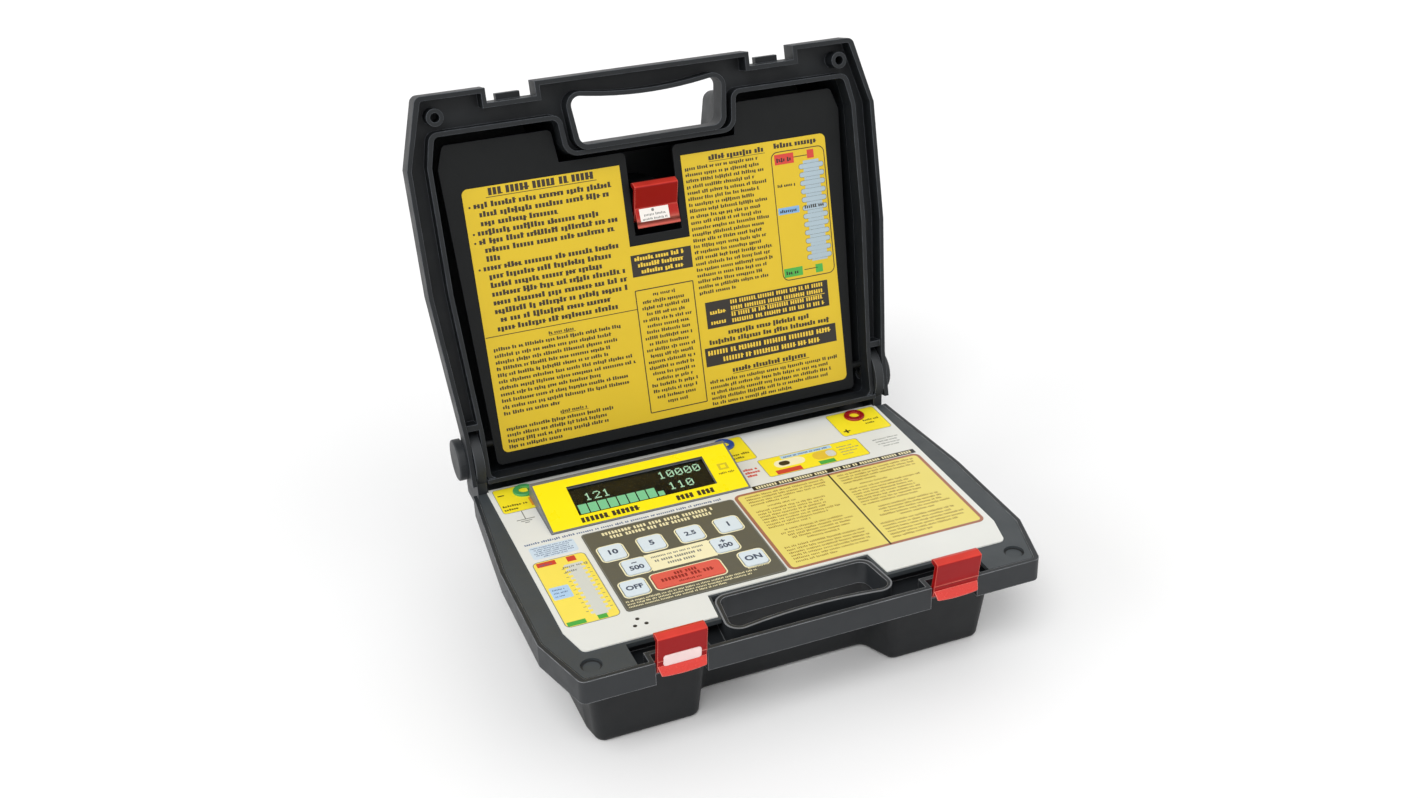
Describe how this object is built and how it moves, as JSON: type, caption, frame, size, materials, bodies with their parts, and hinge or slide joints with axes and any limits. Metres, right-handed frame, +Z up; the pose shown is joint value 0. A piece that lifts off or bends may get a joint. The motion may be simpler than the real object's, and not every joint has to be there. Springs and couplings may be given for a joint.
{
  "type": "insulation resistance tester",
  "caption": "Bench insulation tester in a hinged carrying case with a keypad, a sloping display, sockets, an accessory lid and over-centre latches.",
  "frame": {"origin": "on the floor under the middle of the case's rim", "axes": "+Z up, +X to the user's right, +Y to the hinges at the back"},
  "size_m": [0.33, 0.3524, 0.3447],
  "materials": {
    "case_plastic": "fine moulded texture",
    "deck_plastic": "fine moulded texture",
    "door_plastic": "fine moulded texture",
    "panel_print": "printed film",
    "keypad_print": "printed film",
    "display_yellow": "printed film",
    "display_grey": "fine moulded texture",
    "display_clear": "clear window",
    "display_glass": "display glass",
    "circuit_board": "solder mask",
    "black_plastic": "moulded",
    "socket_green": "moulded",
    "socket_blue": "moulded",
    "socket_red": "moulded",
    "brass": "turned",
    "core_iron": "lacquered laminations",
    "potting": "potting compound",
    "cell_can": "printed jacket",
    "spring_steel": "plain",
    "screw_steel": "blackened",
    "latch_red": "smooth moulded",
    "label_yellow": "printed film",
    "key_blue": "printed film over a key cap",
    "key_red": "printed film over a key cap"
  },
  "bodies": {
    "case": {"base_shell": "case_plastic", "base_front": "case_plastic", "base_rim": "case_plastic", "knuckle_left": "case_plastic", "knuckle_right": "case_plastic", "top_panel": "deck_plastic", "deck_corner_left": "deck_plastic", "deck_corner_right": "deck_plastic", "faceplate": "panel_print", "keypad_frame": "keypad_print", "display_housing": "display_grey", "display_window": "display_clear", "display_module": "display_glass", "keypad_board": "circuit_board", "key_switches": "black_plastic", "socket_green": "socket_green", "socket_blue": "socket_blue", "socket_red": "socket_red", "socket_sleeves": "brass", "buzzer": "black_plastic", "main_board": "circuit_board", "hv_transformer": "core_iron", "hv_multiplier": "potting", "battery_tray": "black_plastic", "battery_cells": "cell_can", "battery_contacts": "spring_steel", "battery_cover": "case_plastic", "battery_cover_screws": "screw_steel", "panel_screws": "screw_steel", "board_screws": "screw_steel", "latch_pins": "spring_steel"},
    "lid": {"lid_shell": "case_plastic", "lid_rim": "case_plastic", "hinge_pins": "spring_steel", "hinge_caps": "case_plastic"},
    "door": {"compartment_door": "door_plastic", "door_label": "label_yellow", "door_latch_pin": "spring_steel"},
    "door_latch": {"door_latch": "latch_red"},
    "latch_left": {"latch_left": "latch_red"},
    "latch_right": {"latch_right": "latch_red"},
    "key_10kv": {"key_10kv": "key_blue"},
    "key_5kv": {"key_5kv": "key_blue"},
    "key_2_5kv": {"key_2_5kv": "key_blue"},
    "key_1kv": {"key_1kv": "key_blue"},
    "key_minus_500v": {"key_minus_500v": "key_blue"},
    "key_plus_500v": {"key_plus_500v": "key_blue"},
    "key_off": {"key_off": "key_blue"},
    "key_test": {"key_test": "key_red"},
    "key_on": {"key_on": "key_blue"}
  },
  "joints": [
    {"name": "lid_hinge", "type": "hinge", "parent": "case", "child": "lid", "pos_m": [0, 0.114, 0.1021], "axis": [-1, 0, 0], "range_deg": [-103, 0]},
    {"name": "door_hinge", "type": "hinge", "parent": "lid", "child": "door", "pos_m": [0, 0.11258, 0.11064], "axis": [1, 0, 0], "range_deg": [0, 90]},
    {"name": "door_latch_hinge", "type": "hinge", "parent": "door", "child": "door_latch", "pos_m": [0, 0.14621, 0.24204], "axis": [1, 0, 0], "range_deg": [-25, 20]},
    {"name": "latch_left_hinge", "type": "hinge", "parent": "case", "child": "latch_left", "pos_m": [-0.091, -0.126, 0.076], "axis": [1, 0, 0], "range_deg": [-10, 75]},
    {"name": "latch_right_hinge", "type": "hinge", "parent": "case", "child": "latch_right", "pos_m": [0.091, -0.126, 0.076], "axis": [1, 0, 0], "range_deg": [-10, 75]},
    {"name": "key_10kv_press", "type": "slide", "parent": "case", "child": "key_10kv", "axis": [0, 0, 1], "range_m": [-0.0008, 0], "stiffness_N_per_m": 800, "springref_m": 0.0005},
    {"name": "key_5kv_press", "type": "slide", "parent": "case", "child": "key_5kv", "axis": [0, 0, 1], "range_m": [-0.0008, 0], "stiffness_N_per_m": 800, "springref_m": 0.0005},
    {"name": "key_2_5kv_press", "type": "slide", "parent": "case", "child": "key_2_5kv", "axis": [0, 0, 1], "range_m": [-0.0008, 0], "stiffness_N_per_m": 800, "springref_m": 0.0005},
    {"name": "key_1kv_press", "type": "slide", "parent": "case", "child": "key_1kv", "axis": [0, 0, 1], "range_m": [-0.0008, 0], "stiffness_N_per_m": 800, "springref_m": 0.0005},
    {"name": "key_minus_500v_press", "type": "slide", "parent": "case", "child": "key_minus_500v", "axis": [0, 0, 1], "range_m": [-0.0008, 0], "stiffness_N_per_m": 800, "springref_m": 0.0005},
    {"name": "key_plus_500v_press", "type": "slide", "parent": "case", "child": "key_plus_500v", "axis": [0, 0, 1], "range_m": [-0.0008, 0], "stiffness_N_per_m": 800, "springref_m": 0.0005},
    {"name": "key_off_press", "type": "slide", "parent": "case", "child": "key_off", "axis": [0, 0, 1], "range_m": [-0.0008, 0], "stiffness_N_per_m": 800, "springref_m": 0.0005},
    {"name": "key_test_press", "type": "slide", "parent": "case", "child": "key_test", "axis": [0, 0, 1], "range_m": [-0.0008, 0], "stiffness_N_per_m": 800, "springref_m": 0.0005},
    {"name": "key_on_press", "type": "slide", "parent": "case", "child": "key_on", "axis": [0, 0, 1], "range_m": [-0.0008, 0], "stiffness_N_per_m": 800, "springref_m": 0.0005}
  ]
}
